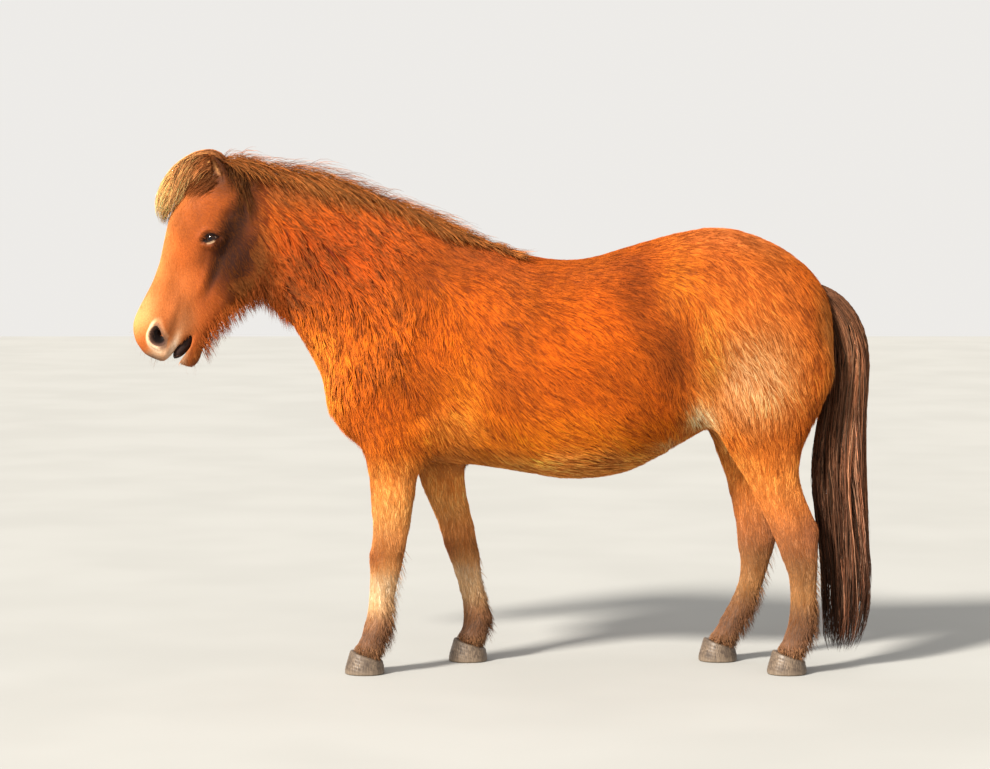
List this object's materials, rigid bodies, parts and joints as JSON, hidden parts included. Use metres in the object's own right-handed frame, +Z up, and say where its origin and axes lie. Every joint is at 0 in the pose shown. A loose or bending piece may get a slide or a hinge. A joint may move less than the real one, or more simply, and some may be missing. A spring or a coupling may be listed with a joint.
{
  "type": "icelandic horse",
  "caption": "Life-size standing pony in a thick chestnut-red winter coat, head lowered slightly, short mane, full dark tail.",
  "frame": {"origin": "under the middle of the horse's outline seen from above, on the floor that the hooves stand on", "axes": "+Z up, the horse faces -Y, its left side is +X"},
  "size_m": [0.5108, 2.3004, 1.6229],
  "materials": {
    "coat": "dense matt winter hair with a slight sheen",
    "mane_hair": "coarse tan-brown hair",
    "tail_hair": "long brown-black hair with reddish strands",
    "eye": "wet and glossy",
    "hoof": "dull ridged horn"
  },
  "bodies": {
    "root": {"trunk": "coat", "neck": "coat", "head": "coat", "lower_jaw": "coat", "ear_left": "coat", "ear_right": "coat", "forearm_foreleg_left": "coat", "knee_foreleg_left": "coat", "cannon_foreleg_left": "coat", "pastern_foreleg_left": "coat", "forearm_foreleg_right": "coat", "knee_foreleg_right": "coat", "cannon_foreleg_right": "coat", "pastern_foreleg_right": "coat", "gaskin_hindleg_left": "coat", "hock_hindleg_left": "coat", "cannon_hindleg_left": "coat", "pastern_hindleg_left": "coat", "gaskin_hindleg_right": "coat", "hock_hindleg_right": "coat", "cannon_hindleg_right": "coat", "pastern_hindleg_right": "coat", "mane": "mane_hair", "forelock": "mane_hair", "tail_dock": "tail_hair", "tail_hair": "tail_hair", "eye_left": "eye", "eye_right": "eye", "hoof_foreleg_left": "hoof", "hoof_foreleg_right": "hoof", "hoof_hindleg_left": "hoof", "hoof_hindleg_right": "hoof"}
  },
  "joints": []
}
